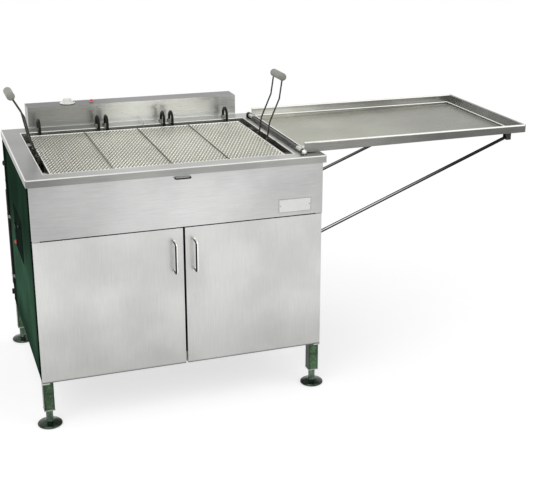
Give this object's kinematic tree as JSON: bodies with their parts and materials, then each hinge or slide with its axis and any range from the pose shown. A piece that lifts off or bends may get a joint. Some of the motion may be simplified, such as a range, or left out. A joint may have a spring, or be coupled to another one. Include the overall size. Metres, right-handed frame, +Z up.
{
  "type": "donut fryer",
  "caption": "Floor-standing open-kettle donut fryer with a lift-out frying screen, cabinet doors, levelling feet and a hinged drain tray on struts.",
  "frame": {"origin": "on the floor, under the middle of the whole object", "axes": "+X to the right along the drain tray, +Y to the back, +Z up"},
  "size_m": [1.986, 0.9185, 1.198],
  "materials": {
    "stainless": "brushed stainless sheet",
    "side_enamel": "dark green-grey enamel, satin",
    "leg_enamel": "grey-green satin coat",
    "element_sheath": "heat-darkened sheath",
    "screen_wire": "plated woven wire",
    "bright_wire": "drawn bright wire",
    "grip": "moulded grip, worn",
    "black_plastic": "moulded",
    "white_plastic": "gloss moulded",
    "red_plastic": "gloss moulded",
    "brass": "machined",
    "ceramic": "fired ceramic, unglazed"
  },
  "bodies": {
    "cabinet": {"deck": "stainless", "kettle": "stainless", "frame_rails": "stainless", "bottom_shelf": "stainless", "leg_front_left": "leg_enamel", "leg_front_right": "leg_enamel", "leg_rear_left": "leg_enamel", "leg_rear_right": "leg_enamel", "left_side_panel": "side_enamel", "right_side_panel": "side_enamel", "back_panel": "stainless", "rear_ledge": "stainless", "front_fascia": "stainless", "name_plate": "white_plastic", "fascia_pull": "bright_wire", "door_pivots": "stainless", "door_catches": "black_plastic", "rear_box": "stainless", "rear_box_cover": "stainless", "thermostat_body": "ceramic", "thermostat_probe": "brass", "pilot_lamps": "red_plastic", "heating_element_left": "element_sheath", "heating_element_middle": "element_sheath", "heating_element_right": "element_sheath", "element_fittings": "brass", "element_terminals": "ceramic", "element_supports": "stainless", "screen_brackets": "stainless", "tray_hinge": "bright_wire", "strut_keepers": "bright_wire", "drain_pipe": "stainless", "drain_valve_body": "brass", "control_plate": "black_plastic", "cable_gland": "black_plastic", "contactor_box": "stainless", "contactors": "black_plastic"},
    "left_door": {"left_door": "stainless", "left_door_handle": "bright_wire"},
    "right_door": {"right_door": "stainless", "right_door_handle": "bright_wire"},
    "tray": {"drain_tray": "stainless", "tray_lugs": "bright_wire"},
    "front_strut": {"tray_strut_front": "bright_wire"},
    "rear_strut": {"tray_strut_rear": "bright_wire"},
    "screen": {"frying_screen_frame": "screen_wire", "frying_screen_mesh": "screen_wire"},
    "left_handle": {"left_lift_handle": "bright_wire", "left_handle_grip": "grip"},
    "right_handle": {"right_lift_handle": "bright_wire", "right_handle_grip": "grip"},
    "dial": {"thermostat_dial": "white_plastic"},
    "rocker": {"power_rocker": "red_plastic"},
    "button": {"reset_button": "white_plastic"},
    "drain_lever": {"valve_ball": "stainless", "valve_lever": "red_plastic"},
    "front_left_foot": {"foot_front_left": "leg_enamel"},
    "front_right_foot": {"foot_front_right": "leg_enamel"},
    "rear_left_foot": {"foot_rear_left": "leg_enamel"},
    "rear_right_foot": {"foot_rear_right": "leg_enamel"}
  },
  "joints": [
    {"name": "left_door_swing", "type": "hinge", "parent": "cabinet", "child": "left_door", "pos_m": [-0.962, -0.41275, 0.45], "axis": [0, 0, -1], "range_deg": [0, 110]},
    {"name": "right_door_swing", "type": "hinge", "parent": "cabinet", "child": "right_door", "pos_m": [0.096, -0.41275, 0.45], "axis": [0, 0, 1], "range_deg": [0, 110]},
    {"name": "tray_raise", "type": "hinge", "parent": "cabinet", "child": "tray", "pos_m": [0.037, -0.05875, 0.955], "axis": [0, -1, 0], "range_deg": [0, 75]},
    {"name": "front_strut_swing", "type": "hinge", "parent": "tray", "child": "front_strut", "pos_m": [0.937, -0.33175, 0.931], "axis": [0, -1, 0], "range_deg": [-7.5, 0]},
    {"name": "rear_strut_swing", "type": "hinge", "parent": "tray", "child": "rear_strut", "pos_m": [0.937, 0.21425, 0.931], "axis": [0, -1, 0], "range_deg": [-7.5, 0]},
    {"name": "screen_lift", "type": "slide", "parent": "cabinet", "child": "screen", "axis": [0, 0, 1], "range_m": [0, 0.35]},
    {"name": "left_handle_fold", "type": "hinge", "parent": "screen", "child": "left_handle", "pos_m": [-0.891, -0.06075, 0.94], "axis": [0, 1, 0], "range_deg": [0, 90]},
    {"name": "right_handle_fold", "type": "hinge", "parent": "screen", "child": "right_handle", "pos_m": [-0.011, -0.06075, 0.94], "axis": [0, -1, 0], "range_deg": [0, 90]},
    {"name": "dial_turn", "type": "hinge", "parent": "cabinet", "child": "dial", "pos_m": [-0.702, 0.40125, 1.025], "axis": [0, 0, 1], "range_deg": [0, 280]},
    {"name": "rocker_tilt", "type": "hinge", "parent": "cabinet", "child": "rocker", "pos_m": [-0.9725, 0.11025, 0.61], "axis": [0, 1, 0], "range_deg": [0, 14]},
    {"name": "button_press", "type": "slide", "parent": "cabinet", "child": "button", "axis": [1, 0, 0], "range_m": [0, 0.003], "stiffness_N_per_m": 400},
    {"name": "drain_turn", "type": "hinge", "parent": "cabinet", "child": "drain_lever", "pos_m": [-0.451, -0.27975, 0.625], "axis": [0, 1, 0], "range_deg": [0, 90]},
    {"name": "front_left_foot_turn", "type": "hinge", "parent": "cabinet", "child": "front_left_foot", "pos_m": [-0.948, -0.38575, 0.04], "axis": [0, 0, 1], "continuous": true},
    {"name": "front_right_foot_turn", "type": "hinge", "parent": "cabinet", "child": "front_right_foot", "pos_m": [0.082, -0.38575, 0.04], "axis": [0, 0, 1], "continuous": true},
    {"name": "rear_left_foot_turn", "type": "hinge", "parent": "cabinet", "child": "rear_left_foot", "pos_m": [-0.948, 0.41425, 0.04], "axis": [0, 0, 1], "continuous": true},
    {"name": "rear_right_foot_turn", "type": "hinge", "parent": "cabinet", "child": "rear_right_foot", "pos_m": [0.082, 0.41425, 0.04], "axis": [0, 0, 1], "continuous": true}
  ],
  "couplings": [
    {"joint": "front_strut_swing", "follows": "tray_raise", "ratio": -0.1},
    {"joint": "rear_strut_swing", "follows": "tray_raise", "ratio": -0.1}
  ]
}
